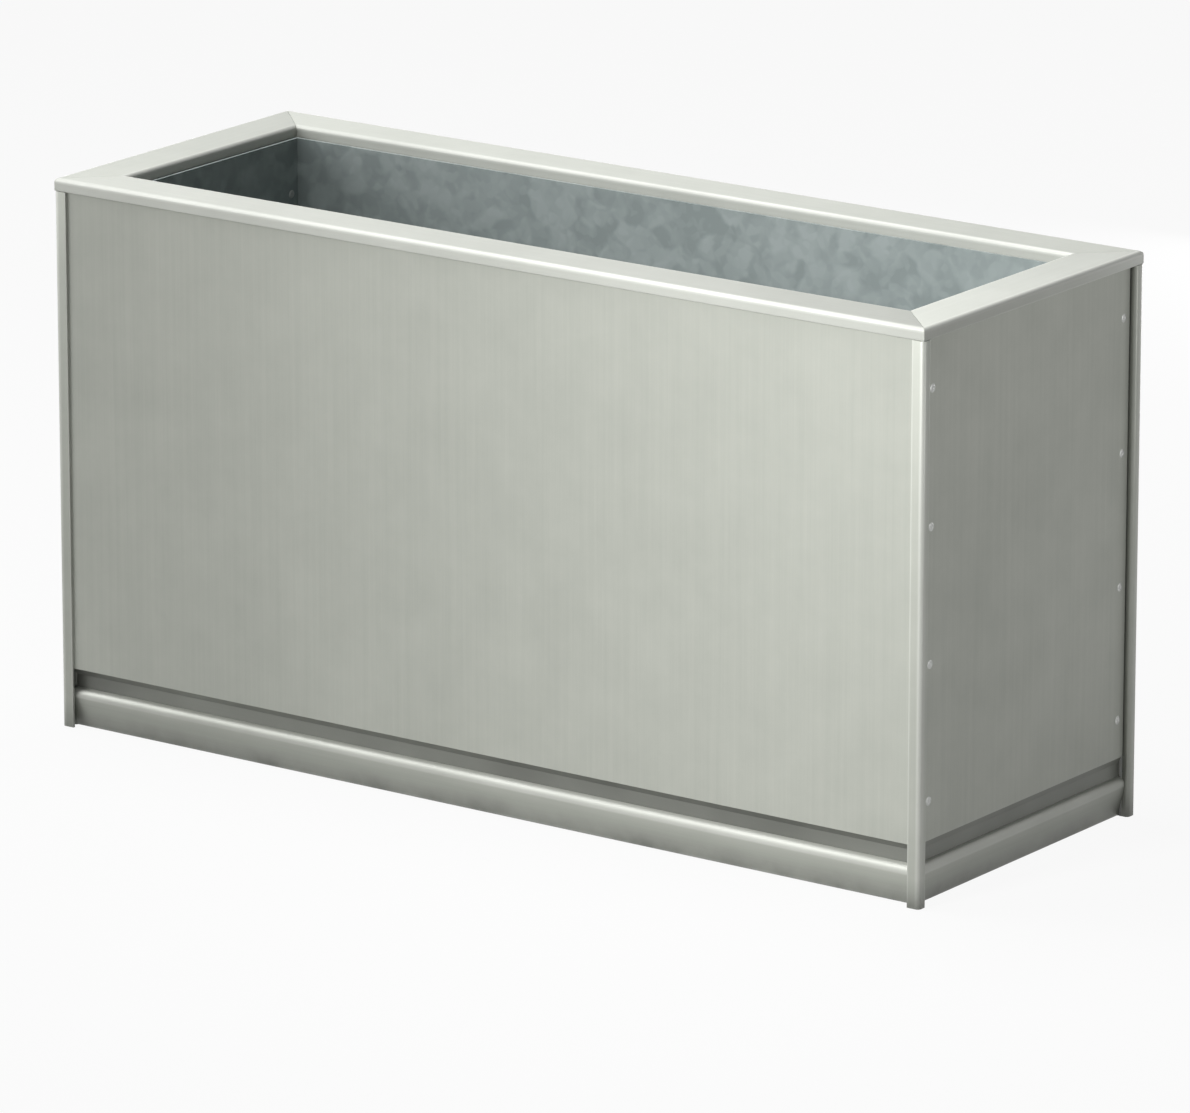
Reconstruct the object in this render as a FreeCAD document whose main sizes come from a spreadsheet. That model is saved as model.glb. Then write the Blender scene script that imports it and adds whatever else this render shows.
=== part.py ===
"""Rectangular sheet-metal planter with a lift-out liner, built as separate pieces.

Millimetres, +Z up. The origin lies on the floor under the middle of the planter. The length runs
along X, the front faces -Y and the right end faces +X.
"""
import FreeCAD, Part
import math
import os

import Sketcher

# Driving dimensions: name, value, meaning
DIMENSIONS = [
    ("planter_length", 826, "length over the corner angles"),
    ("planter_width", 300, "width over the corner angles"),
    ("planter_height", 450, "floor to the top of the rim"),
    ("frame_sheet", 2, "sheet of the rim and the corner angles"),
    ("skin_sheet", 1.5, "sheet of the four panels"),
    ("seam_gap", 0.3, "open seam between two pieces that meet edge to edge"),
    ("overrun", 5, "how far a cut runs past the piece"),
    ("rim_width", 41, "rim, outer face to the face of its lip"),
    ("rim_skirt", 10, "drop of the rim outside"),
    ("rim_lip", 11, "drop of the rim inside"),
    ("rim_bend", 3, "outer radius of the rim's bends"),
    ("corner_front_leg", 11, "corner angle's leg on the front and the back"),
    ("corner_end_leg", 10, "corner angle's leg on the ends"),
    ("corner_flange", 16, "corner angle's flange behind the end panel"),
    ("corner_bend", 3, "outer radius of the corner angle's bends"),
    ("end_recess", 5, "end panel's face behind the corner angle's leg"),
    ("corner_rivet_inset", 19, "corner rivets, from the front or back face"),
    ("corner_rivet_low", 80, "lowest corner rivet above the floor"),
    ("corner_rivet_drop", 50, "highest corner rivet below the rim"),
    ("corner_rivet_count", 4, "rivets on each corner angle"),
    ("groove_top", 49, "upper edge of the base groove above the floor"),
    ("groove_slope", 6, "height of the groove's sloping upper wall"),
    ("nose_top", 32, "top of the base rails' rounded nose above the floor"),
    ("nose_radius", 7, "outer radius of the nose"),
    ("nose_clearance", 0.2, "front of the nose behind the corner angles"),
    ("rail_draw", 6.5, "how far a base rail's face draws in at the floor"),
    ("rail_sheet", 1.5, "sheet of the base rails"),
    ("rail_lap", 14, "lap of a base rail behind its panel"),
    ("rail_foot", 24, "depth of a base rail's foot"),
    ("pan_sheet", 2, "sheet of the floor pan"),
    ("pan_inset", 13, "floor pan's edge behind the outer face"),
    ("pan_height", 14.5, "height of the floor pan"),
    ("pan_bend", 3, "outer radius of the floor pan's top edges"),
    ("pan_hole", 14, "drain hole in the floor pan"),
    ("bearer_sheet", 2, "sheet of the liner bearers"),
    ("bearer_width", 40, "top of a liner bearer"),
    ("bearer_flange", 14, "foot flange of a liner bearer"),
    ("bearer_height", 12, "height of a liner bearer"),
    ("bearer_bend", 3.5, "outer radius of a bearer's bends"),
    ("bearer_end_gap", 12, "bearer's end inside the floor pan's edge"),
    ("bearer_margin", 130, "middle of an outer bearer, from the floor pan's end"),
    ("liner_sheet", 1, "sheet of the liner"),
    ("liner_gap", 2.5, "liner's edge to the lip of the rim"),
    ("liner_drop", 9, "liner's edge below the top of the rim"),
    ("liner_hem", 8, "height of the liner's folded edge"),
    ("liner_bend", 5, "outer radius of the liner's floor bends"),
    ("liner_flange", 16, "flange that holds an end plate"),
    ("liner_fit", 0.2, "end plate's clearance in the wrap"),
    ("liner_hole", 12, "drain hole in the liner"),
    ("liner_rivet_rise", 50, "lowest liner rivet above the liner's floor"),
    ("liner_rivet_drop", 45, "highest liner rivet below the liner's edge"),
    ("liner_rivet_count", 4, "rivets along each upright seam of the liner"),
    ("drain_count", 4, "drain holes along the length"),
    ("drain_offset", 60, "drain holes, from the middle line"),
    ("rivet_head", 7, "diameter of a rivet's head"),
    ("rivet_rise", 0.7, "height of a rivet's domed head"),
    ("rivet_shank", 4, "diameter of a rivet's shank"),
    ("rivet_fit", 0.2, "rivet hole's clearance on the diameter"),
    ("rivet_tail", 5.5, "diameter of a rivet's closed end"),
    ("rivet_tail_rise", 1, "height of a rivet's closed end"),
]

LEFT = 1
RIGHT = -1
UP = FreeCAD.Vector(0, 0, 1)


class Size:
    """A length that carries its value and the sheet expression it comes from."""

    def __init__(self, value, text):
        self.value = float(value)
        self.text = text

    def __add__(self, other):
        other = as_size(other)
        return Size(self.value + other.value, f"({self.text} + {other.text})")

    def __sub__(self, other):
        other = as_size(other)
        return Size(self.value - other.value, f"({self.text} - {other.text})")

    def __mul__(self, other):
        other = as_size(other)
        return Size(self.value * other.value, f"({self.text} * {other.text})")

    def __truediv__(self, other):
        other = as_size(other)
        return Size(self.value / other.value, f"({self.text} / {other.text})")

    def __neg__(self):
        return self * -1

    __radd__ = __add__
    __rmul__ = __mul__


def as_size(number):
    """A plain number as a Size, and a Size as it is."""
    return number if isinstance(number, Size) else Size(number, f"({number})")


class Sizes:
    """The driving dimensions by name, kept in the document's sheet."""

    def __init__(self, document):
        sheet = document.addObject("Spreadsheet::Sheet", "dims")
        for row, (name, value, meaning) in enumerate(DIMENSIONS, 1):
            sheet.set(f"A{row}", meaning)
            sheet.set(f"B{row}", str(value))
            sheet.setAlias(f"B{row}", name)
            setattr(self, name, Size(value, f"dims.{name}"))


doc = FreeCAD.newDocument("planter")
d = Sizes(doc)
doc.recompute()

ZERO = as_size(0)
half_length = d.planter_length / 2
half_width = d.planter_width / 2
panel_face = d.frame_sheet
panel_back = d.frame_sheet + d.skin_sheet
panel_top = d.planter_height - d.rim_bend
end_panel_back = d.end_recess + d.skin_sheet
end_panel_top = d.planter_height - d.frame_sheet - d.seam_gap
corner_flange_back = end_panel_back + d.frame_sheet
lap_top = d.groove_top + d.rail_lap
pan_top = d.rail_sheet + d.pan_height
bearer_step = half_length - d.pan_inset - d.bearer_margin
drain_pitch = bearer_step / 2
liner_floor = pan_top + d.bearer_height
liner_top = d.planter_height - d.liner_drop
liner_half_length = half_length - d.rim_width - d.liner_gap
liner_half_width = half_width - d.rim_width - d.liner_gap - d.liner_sheet
liner_inner_half = liner_half_width - d.liner_sheet
window_half = liner_inner_half - d.liner_flange

# Each side of the planter: its run and the middle of its outer face
SIDES = {
    "front": (d.planter_length, ZERO, -half_width),
    "right": (d.planter_width, half_length, ZERO),
    "back": (d.planter_length, ZERO, half_width),
    "left": (d.planter_width, -half_length, ZERO),
}
ENDS = {"left": -1, "right": 1}
FACES = {"front": -1, "back": 1}


# Drawing and feature helpers

def new_body(label):
    """An empty body under the piece's own name."""
    body = doc.addObject("PartDesign::Body", label)
    body.Label = label
    return body


def place(piece, x=ZERO, y=ZERO, z=ZERO, turn=0):
    """Set a piece in the planter's frame, turned about the upright axis."""
    spot = FreeCAD.Vector(x.value, y.value, z.value)
    piece.Placement = FreeCAD.Placement(spot, FreeCAD.Rotation(UP, turn))
    for axis, size in (("x", x), ("y", y), ("z", z)):
        piece.setExpression(f"Placement.Base.{axis}", size.text)


def place_on_side(piece, x, y):
    """Set a piece that is drawn for the front at the side whose outer face has this middle."""
    place(piece, x, y, turn=math.degrees(math.atan2(x.value, -y.value)))


def new_sketch(body, name, role):
    """An empty sketch on one of the body's own planes."""
    sketch = body.newObject("Sketcher::SketchObject", name)
    support = next(f for f in body.Origin.OriginFeatures if f.Role == role)
    sketch.AttachmentSupport = [(support, "")]
    sketch.MapMode = "FlatFace"
    return sketch


def dimension(sketch, kind, size, *where):
    """Add a constraint and tie its value to the sheet."""
    number = sketch.addConstraint(Sketcher.Constraint(kind, *where, size.value))
    name = f"{kind}{number}"
    sketch.renameConstraint(number, name)
    sketch.setExpression(f"Constraints.{name}", size.text)


def pin(sketch, geometry, point, x, y):
    """Hold one point of a sketch at its coordinates."""
    origin = (-1, 1)
    dimension(sketch, "DistanceX", x, *origin, geometry, point)
    dimension(sketch, "DistanceY", y, *origin, geometry, point)


def arc_through(start, end, radius, turn):
    """The arc from start to end that turns left or right with this radius."""
    chord = end - start
    rise = math.sqrt(max(radius ** 2 - (chord.Length / 2) ** 2, 0))
    normal = FreeCAD.Vector(-chord.y, chord.x, 0).normalize()
    centre = (start + end) * 0.5 + normal * rise * turn
    first, last = (start, end) if turn == LEFT else (end, start)
    angles = [math.atan2(p.y - centre.y, p.x - centre.x) for p in (first, last)]
    if angles[1] < angles[0]:
        angles[1] += 2 * math.pi
    return Part.ArcOfCircle(Part.Circle(centre, UP, radius), *angles)


def draw_loop(sketch, corners):
    """Draw one closed outline.

    A corner is (x, y), or (x, y, radius, turn) where the edge that leaves it is an arc.
    """
    corners = [tuple(as_size(v) for v in c[:3]) + tuple(c[3:]) for c in corners]
    spots = [FreeCAD.Vector(c[0].value, c[1].value, 0) for c in corners]
    ends = []
    for number, corner in enumerate(corners):
        start, end = spots[number], spots[(number + 1) % len(spots)]
        if len(corner) == 2:
            geometry = sketch.addGeometry(Part.LineSegment(start, end), False)
            ends.append((geometry, 1, 2))
            continue
        radius, turn = corner[2:]
        geometry = sketch.addGeometry(arc_through(start, end, radius.value, turn), False)
        ends.append((geometry, 1, 2) if turn == LEFT else (geometry, 2, 1))
    for number, (geometry, _, last) in enumerate(ends):
        following, its_first, _ = ends[(number + 1) % len(ends)]
        sketch.addConstraint(Sketcher.Constraint("Coincident", geometry, last, following, its_first))
    for (geometry, first, _), corner in zip(ends, corners):
        pin(sketch, geometry, first, corner[0], corner[1])
        if len(corner) > 2:
            dimension(sketch, "Radius", corner[2], geometry)


def outline(body, name, role, *loops):
    """A sketch of one or more closed outlines."""
    sketch = new_sketch(body, name, role)
    for corners in loops:
        draw_loop(sketch, corners)
    return sketch


def rectangle(x_low, y_low, x_high, y_high):
    """Corners of a rectangle."""
    return [(x_low, y_low), (x_high, y_low), (x_high, y_high), (x_low, y_high)]


def trough(half, low, high, radius):
    """Corners of a rectangle whose two lower corners are rounded."""
    return [
        (-half, high),
        (-half, low + radius, radius, LEFT),
        (-half + radius, low),
        (half - radius, low, radius, LEFT),
        (half, low + radius),
        (half, high),
    ]


def folded(path, thickness, bend, side):
    """Corners of a square-folded sheet, from the line of one face and the side its thickness lies on."""
    path = [tuple(as_size(v) for v in point) for point in path]
    legs = []
    for (x0, y0), (x1, y1) in zip(path, path[1:]):
        run = FreeCAD.Vector(x1.value - x0.value, y1.value - y0.value, 0).normalize()
        legs.append((round(run.x), round(run.y)))
    legs = [legs[0]] + legs + [legs[-1]]
    near, far = [], []
    for (x, y), before, after in zip(path, legs, legs[1:]):
        normals = [(-side * leg[1], side * leg[0]) for leg in (before, after)]
        turn = before[0] * after[1] - before[1] * after[0]
        if turn == 0:
            near.append((x, y))
            far.append((x + thickness * normals[0][0], y + thickness * normals[0][1]))
            continue
        inside = bend - thickness
        near_radius, far_radius = (bend, inside) if turn == side else (inside, bend)
        far_x = x + thickness * (normals[0][0] + normals[1][0])
        far_y = y + thickness * (normals[0][1] + normals[1][1])
        near += rounded(x, y, before, after, near_radius, turn)
        far += rounded(far_x, far_y, before, after, far_radius, turn)
    return near + reverse(far)


def rounded(x, y, before, after, radius, turn):
    """The two ends of a bend at a square corner, with its arc."""
    start = (x - radius * before[0], y - radius * before[1], radius, turn)
    end = (x + radius * after[0], y + radius * after[1])
    return [start, end]


def reverse(corners):
    """The same run of corners and arcs, taken the other way."""
    turned = []
    for number in range(len(corners) - 1, -1, -1):
        corner = corners[number][:2]
        arriving = corners[number - 1] if number else ()
        if len(arriving) > 2:
            corner += (arriving[2], -arriving[3])
        turned.append(corner)
    return turned


def pad(body, sketch, length, symmetric=True):
    """Thicken a sketch, to both sides of its plane or along its normal."""
    feature = body.newObject("PartDesign::Pad", f"{sketch.Name}_pad")
    feature.Profile = sketch
    feature.SideType = "Symmetric" if symmetric else "One side"
    feature.setExpression("Length", length.text)
    doc.recompute()
    return feature


def cut(body, sketch, length=None, upwards=False):
    """Cut a sketch right through, to a length about its plane, or upwards from its plane."""
    before = body.Tip.Shape.Volume
    feature = body.newObject("PartDesign::Pocket", f"{sketch.Name}_cut")
    feature.Profile = sketch
    feature.SideType = "One side" if upwards else "Symmetric"
    feature.Reversed = upwards
    if length is None:
        feature.Type = "ThroughAll"
    else:
        feature.setExpression("Length", length.text)
    doc.recompute()
    if feature.Shape.Volume >= before:
        raise RuntimeError(f"{feature.Name} cuts nothing")
    return feature


def repeat(body, feature, axis, pitch, count):
    """Repeat a feature in a row along one of the body's axes."""
    row = body.newObject("PartDesign::LinearPattern", f"{feature.Name}_row")
    row.Originals = [feature]
    direction = next(f for f in body.Origin.OriginFeatures if f.Role == axis)
    row.Direction = (direction, [""])
    row.setExpression("Length", (pitch * (count - 1)).text)
    row.setExpression("Occurrences", count.text)
    body.Tip = row
    doc.recompute()
    return row


def holes(body, name, role, centres, diameter):
    """Cut round holes right through, square to one of the body's planes."""
    sketch = new_sketch(body, name, role)
    for x, y in centres:
        spot = FreeCAD.Vector(x.value, y.value, 0)
        circle = sketch.addGeometry(Part.Circle(spot, UP, diameter.value / 2), False)
        pin(sketch, circle, 3, x, y)
        dimension(sketch, "Diameter", diameter, circle)
    return cut(body, sketch)


def mitre(body, run, depth):
    """Cut both ends of a length at 45 degrees, from the outer face inwards."""
    reach = run / 2 - d.seam_gap / 2
    past = depth + d.overrun
    ends = []
    for way in (1, -1):
        ends.append([
            ((reach + d.overrun) * way, -d.overrun),
            ((run / 2 + d.overrun * 2) * way, -d.overrun),
            ((run / 2 + d.overrun * 2) * way, past),
            ((reach - past) * way, past),
        ])
    cut(body, outline(body, "mitre", "XY_Plane", *ends))


def row_of(low, high, count):
    """Evenly spaced heights from low to high, as values."""
    return [low.value + (high.value - low.value) * i / (count.value - 1) for i in range(int(count.value))]


# Rim and corner angles

def rim_strip(side):
    """One mitred length of the rim: skirt outside, flat top, lip inside."""
    run, x, y = SIDES[side]
    body = new_body(f"rim_{side}")
    top = d.planter_height
    path = [
        (0, top - d.rim_skirt),
        (0, top),
        (d.rim_width, top),
        (d.rim_width, top - d.rim_lip),
    ]
    section = outline(body, "rim_section", "YZ_Plane", folded(path, d.frame_sheet, d.rim_bend, RIGHT))
    pad(body, section, run)
    mitre(body, run, d.rim_width)
    place_on_side(body, x, y)
    return body


corner_rivet_low = d.corner_rivet_low
corner_rivet_high = d.planter_height - d.corner_rivet_drop
corner_rivet_pitch = (corner_rivet_high - corner_rivet_low) / (d.corner_rivet_count - 1)
rivet_hole = d.rivet_shank + d.rivet_fit


def corner_angle(end, face):
    """The folded strip over one upright corner, with a flange riveted behind the end panel."""
    to_end, to_face = ENDS[end], FACES[face]
    body = new_body(f"corner_angle_{face}_{end}")
    step_x, step_y = half_length - end_panel_back, half_width - d.corner_end_leg
    path = [
        ((half_length - d.corner_front_leg) * to_end, half_width * to_face),
        (half_length * to_end, half_width * to_face),
        (half_length * to_end, step_y * to_face),
        (step_x * to_end, step_y * to_face),
        (step_x * to_end, (step_y - d.corner_flange) * to_face),
    ]
    inside = RIGHT if to_end == to_face else LEFT
    section = outline(body, "corner_section", "XY_Plane", folded(path, d.frame_sheet, d.corner_bend, inside))
    pad(body, section, d.planter_height - d.rim_skirt - d.seam_gap, symmetric=False)
    notch = rectangle(
        (half_length - corner_flange_back - d.overrun) * to_end,
        (step_y - d.corner_flange - d.overrun) * to_face,
        (half_length + d.overrun) * to_end,
        step_y * to_face,
    )
    cut(body, outline(body, "rail_notch", "XY_Plane", notch), lap_top + d.seam_gap, upwards=True)
    spot = ((half_width - d.corner_rivet_inset) * to_face, corner_rivet_low)
    hole = holes(body, "corner_hole", "YZ_Plane", [spot], rivet_hole)
    repeat(body, hole, "Z_Axis", corner_rivet_pitch, d.corner_rivet_count)
    place(body)
    return body


# Panels

def long_panel(face):
    """The front or back sheet, from the base groove up into the rim."""
    panel = doc.addObject("Part::Box", f"{face}_panel")
    panel.Label = f"{face}_panel"
    panel.setExpression("Length", (d.planter_length - d.corner_bend * 2).text)
    panel.setExpression("Width", d.skin_sheet.text)
    panel.setExpression("Height", (panel_top - d.groove_top).text)
    y = panel_face - half_width if face == "front" else half_width - panel_back
    place(panel, d.corner_bend - half_length, y, d.groove_top)
    return panel


def end_panel(end):
    """The left or right sheet between the corner angles, with the holes for both columns of rivets."""
    body = new_body(f"{end}_panel")
    half = half_width - d.corner_end_leg - (d.corner_bend - d.frame_sheet) - d.seam_gap
    sheet = outline(body, "end_sheet", "YZ_Plane", rectangle(-half, d.groove_top, half, end_panel_top))
    pad(body, sheet, d.skin_sheet)
    inset = half_width - d.corner_rivet_inset
    spots = [(-inset, corner_rivet_low), (inset, corner_rivet_low)]
    hole = holes(body, "end_hole", "YZ_Plane", spots, rivet_hole)
    repeat(body, hole, "Z_Axis", corner_rivet_pitch, d.corner_rivet_count)
    place(body, (half_length - d.end_recess - d.skin_sheet / 2) * ENDS[end])
    return body


# Base

def base_rail(side):
    """One base rail: lap behind the panel, groove, rounded nose, drawn-in face and mitred foot."""
    run, x, y = SIDES[side]
    body = new_body(f"base_rail_{side}")
    sheet = d.rail_sheet
    lap = panel_back if side in FACES else end_panel_back
    nose = panel_face + d.nose_clearance
    groove = nose + d.nose_radius
    groove_low = d.groove_top - d.groove_slope
    nose_low = d.nose_top - d.nose_radius
    section = outline(body, "rail_section", "YZ_Plane", [
        (lap, lap_top),
        (lap, d.groove_top),
        (groove, groove_low),
        (groove, d.nose_top, d.nose_radius, LEFT),
        (nose, nose_low),
        (nose + d.rail_draw, 0),
        (d.rail_foot, 0),
        (d.rail_foot, sheet),
        (nose + d.rail_draw + sheet, sheet),
        (nose + sheet, nose_low, d.nose_radius - sheet, RIGHT),
        (groove, d.nose_top - sheet),
        (groove + sheet, d.nose_top - sheet),
        (groove + sheet, groove_low),
        (lap + sheet, d.groove_top),
        (lap + sheet, lap_top),
    ])
    stop = corner_flange_back if side in FACES else d.corner_end_leg
    pad(body, section, run - (stop + d.seam_gap) * 2)
    mitre(body, run, d.rail_foot)
    place_on_side(body, x, y)
    return body


def drain_holes(body, diameter):
    """Two rows of drain holes along the length, clear of the bearers."""
    first = drain_pitch * (d.drain_count - 1) / -2
    spots = [(first, -d.drain_offset), (first, d.drain_offset)]
    hole = holes(body, "drain_hole", "XY_Plane", spots, diameter)
    repeat(body, hole, "X_Axis", drain_pitch, d.drain_count)


def floor_pan():
    """The upturned tray on the base rails' feet that carries the bearers."""
    body = new_body("floor_pan")
    half_x, half_y = half_length - d.pan_inset, half_width - d.pan_inset
    plate = outline(body, "pan_outline", "XY_Plane", rectangle(-half_x, -half_y, half_x, half_y))
    block = pad(body, plate, d.pan_height, symmetric=False)
    level = d.pan_height.value
    rim = [f"Edge{i}" for i, e in enumerate(block.Shape.Edges, 1) if e.BoundBox.ZMin > level / 2]
    bends = body.newObject("PartDesign::Fillet", "pan_bends")
    bends.Base = (block, rim)
    bends.setExpression("Radius", d.pan_bend.text)
    doc.recompute()
    in_x, in_y = half_x - d.pan_sheet, half_y - d.pan_sheet
    hollow = outline(body, "pan_hollow", "XY_Plane", rectangle(-in_x, -in_y, in_x, in_y))
    cut(body, hollow, d.pan_height - d.pan_sheet, upwards=True)
    drain_holes(body, d.pan_hole)
    place(body, z=d.rail_sheet)
    return body


def liner_bearer(name, steps):
    """A hat-shaped channel across the floor pan."""
    body = new_body(f"liner_bearer_{name}")
    half, sheet = d.bearer_width / 2, d.bearer_sheet
    foot = half + d.bearer_flange
    path = [
        (-foot, sheet),
        (-half, sheet),
        (-half, d.bearer_height),
        (half, d.bearer_height),
        (half, sheet),
        (foot, sheet),
    ]
    section = outline(body, "bearer_section", "XZ_Plane", folded(path, sheet, d.bearer_bend, RIGHT))
    pad(body, section, d.planter_width - (d.pan_inset + d.bearer_end_gap) * 2)
    place(body, bearer_step * steps, z=pan_top)
    return body


# Liner

liner_rivet_low = liner_floor + d.liner_sheet + d.liner_rivet_rise
liner_rivet_high = liner_top - d.liner_rivet_drop
liner_rivet_pitch = (liner_rivet_high - liner_rivet_low) / (d.liner_rivet_count - 1)
liner_rivet_side = liner_inner_half - d.liner_flange / 2


def liner_rivet_holes(body):
    """Both upright rows of rivet holes at an end of the liner."""
    spots = [(-liner_rivet_side, liner_rivet_low), (liner_rivet_side, liner_rivet_low)]
    hole = holes(body, "liner_seam_hole", "YZ_Plane", spots, rivet_hole)
    repeat(body, hole, "Z_Axis", liner_rivet_pitch, d.liner_rivet_count)


def liner_wrap():
    """One folded sheet: front wall, floor and back wall, with flanges turned in at both ends."""
    body = new_body("liner_wrap")
    hem_half, hem_low = liner_half_width + d.liner_sheet, liner_top - d.liner_hem
    walls = trough(liner_half_width, liner_floor, hem_low, d.liner_bend)
    hems = [(hem_half, hem_low), (hem_half, liner_top), (-hem_half, liner_top), (-hem_half, hem_low)]
    pad(body, outline(body, "wrap_outline", "YZ_Plane", walls + hems), liner_half_length * 2)
    floor_face = liner_floor + d.liner_sheet
    inside = trough(liner_inner_half, floor_face, liner_top + d.overrun, d.liner_bend - d.liner_sheet)
    space = outline(body, "wrap_inside", "YZ_Plane", inside)
    cut(body, space, (liner_half_length - d.liner_sheet) * 2)
    window_low = floor_face + d.liner_flange
    window = rectangle(-window_half, window_low, window_half, liner_top + d.overrun)
    cut(body, outline(body, "wrap_window", "YZ_Plane", window))
    drain_holes(body, d.liner_hole)
    liner_rivet_holes(body)
    place(body)
    return body


def liner_end(end):
    """The flat end plate inside the wrap's flanges, with its own folded edge."""
    body = new_body(f"liner_end_{end}")
    low = liner_floor + d.liner_sheet + d.liner_fit
    corner = d.liner_bend - d.liner_sheet
    plate = trough(liner_inner_half - d.liner_fit, low, liner_top, corner)
    pad(body, outline(body, "end_plate", "YZ_Plane", plate), d.liner_sheet)
    hem_half = window_half - d.liner_fit
    hem = rectangle(-hem_half, liner_top - d.liner_hem, hem_half, liner_top)
    fold = outline(body, "end_hem", "YZ_Plane", hem)
    fold.setExpression("AttachmentOffset.Base.z", (d.liner_sheet / 2).text)
    pad(body, fold, d.liner_sheet, symmetric=False)
    liner_rivet_holes(body)
    turn = 0 if end == "right" else 180
    place(body, (liner_half_length - d.liner_sheet - d.liner_sheet / 2) * ENDS[end], turn=turn)
    return body


# Rivets

def rivet(grip):
    """A domed rivet along Z: its head above the seat at zero, its closed end under the grip."""
    head, shank, tail = d.rivet_head.value / 2, d.rivet_shank.value / 2, d.rivet_tail.value / 2
    rise, under, end = d.rivet_rise.value, -grip.value, -grip.value - d.rivet_tail_rise.value
    section = [
        (head, 0),
        (shank, 0),
        (shank, under),
        (tail, under),
        (tail, end),
        (0, end),
        (0, rise),
    ]
    corners = [FreeCAD.Vector(radius, 0, height) for radius, height in section]
    dome = (head ** 2 + rise ** 2) / (2 * rise)
    lean = math.asin(head / dome) / 2
    crown = FreeCAD.Vector(dome * math.sin(lean), 0, rise - dome * (1 - math.cos(lean)))
    edges = [Part.makeLine(a, b) for a, b in zip(corners, corners[1:])]
    edges.append(Part.Arc(corners[-1], crown, corners[0]).toShape())
    return Part.Face(Part.Wire(edges)).revolve(FreeCAD.Vector(0, 0, 0), UP, 360)


def rivet_group(label, solid, seats):
    """Copies of one rivet, each at a seat (x, y, z) with its head towards +X or -X."""
    copies = []
    for x, y, z, way in seats:
        turn = FreeCAD.Rotation(FreeCAD.Vector(0, 1, 0), 90 * way)
        copies.append(solid.transformed(FreeCAD.Placement(FreeCAD.Vector(x, y, z), turn).toMatrix()))
    group = doc.addObject("Part::Feature", label)
    group.Label = label
    group.Shape = Part.makeCompound(copies)
    place(group)
    return group


def corner_rivets():
    """The rivets through the end panels and the corner angles' flanges, heads outside."""
    seat = (half_length - d.end_recess).value
    side = (half_width - d.corner_rivet_inset).value
    heights = row_of(corner_rivet_low, corner_rivet_high, d.corner_rivet_count)
    seats = [(seat * w, side * f, z, w) for w in (1, -1) for f in (1, -1) for z in heights]
    return rivet_group("corner_rivets", rivet(d.frame_sheet + d.skin_sheet), seats)


def liner_rivets():
    """The rivets through the liner's flanges and end plates, heads inside."""
    seat = (liner_half_length - d.liner_sheet * 2).value
    heights = row_of(liner_rivet_low, liner_rivet_high, d.liner_rivet_count)
    side = liner_rivet_side.value
    seats = [(seat * w, side * f, z, -w) for w in (1, -1) for f in (1, -1) for z in heights]
    return rivet_group("liner_rivets", rivet(d.liner_sheet * 2), seats)


# Assembly

pieces = [rim_strip(side) for side in SIDES]
pieces += [corner_angle(end, face) for end in ENDS for face in FACES]
pieces += [long_panel(face) for face in FACES]
pieces += [end_panel(end) for end in ENDS]
pieces += [base_rail(side) for side in SIDES]
pieces.append(floor_pan())
pieces += [liner_bearer(name, steps) for name, steps in (("left", -1), ("middle", 0), ("right", 1))]
pieces.append(liner_wrap())
pieces += [liner_end(end) for end in ENDS]
pieces += [corner_rivets(), liner_rivets()]
doc.recompute()

failed = [o.Label for o in doc.Objects if {"Invalid", "Error"} & set(o.State)]
failed += [p.Label for p in pieces if p.Shape.isNull() or not p.Shape.isValid()]
if failed:
    raise RuntimeError(f"these did not build: {failed}")

os.makedirs("parts", exist_ok=True)
for piece in pieces:
    piece.Shape.exportStep(f"parts/{piece.Label}.step")
    print(f"{piece.Label}: {len(piece.Shape.Solids)} solids, {piece.Shape.Volume:.0f} mm3")
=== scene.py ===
"""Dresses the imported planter: folded rim, corner angles, panels, base rails, liner, rivets and a plain stage.

Metres, +Z up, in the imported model's own frame. The front faces -Y and the right end faces +X.
"""
import math

import bmesh
import bpy
from bpy.props import FloatProperty, FloatVectorProperty, IntProperty, PointerProperty
from mathutils import Matrix, Vector


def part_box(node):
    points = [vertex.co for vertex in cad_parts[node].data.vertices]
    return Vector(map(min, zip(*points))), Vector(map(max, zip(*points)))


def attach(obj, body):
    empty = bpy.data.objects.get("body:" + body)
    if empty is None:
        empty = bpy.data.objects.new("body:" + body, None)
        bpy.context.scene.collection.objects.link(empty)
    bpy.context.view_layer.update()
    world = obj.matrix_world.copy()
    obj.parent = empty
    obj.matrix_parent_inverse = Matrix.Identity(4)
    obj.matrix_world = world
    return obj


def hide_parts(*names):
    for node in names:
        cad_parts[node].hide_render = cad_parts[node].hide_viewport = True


bl_info = {
    "name": "Sheet-metal planter",
    "version": (1, 0, 0),
    "blender": (4, 5, 0),
    "location": "3D View > Sidebar > Planter",
    "description": "Dresses a packed sheet-metal planter with folded pieces, finishes and a plain stage",
    "category": "Object",
}

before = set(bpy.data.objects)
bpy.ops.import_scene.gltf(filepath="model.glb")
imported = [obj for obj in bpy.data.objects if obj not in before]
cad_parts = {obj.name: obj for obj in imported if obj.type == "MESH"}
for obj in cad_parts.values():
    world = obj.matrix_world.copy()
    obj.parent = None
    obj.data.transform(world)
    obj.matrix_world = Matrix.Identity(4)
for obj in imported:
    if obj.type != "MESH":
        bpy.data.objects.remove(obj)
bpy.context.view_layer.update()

SIDES = ("front", "right", "back", "left")
ENDS = {"left": -1, "right": 1}
FACES = {"front": -1, "back": 1}

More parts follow.
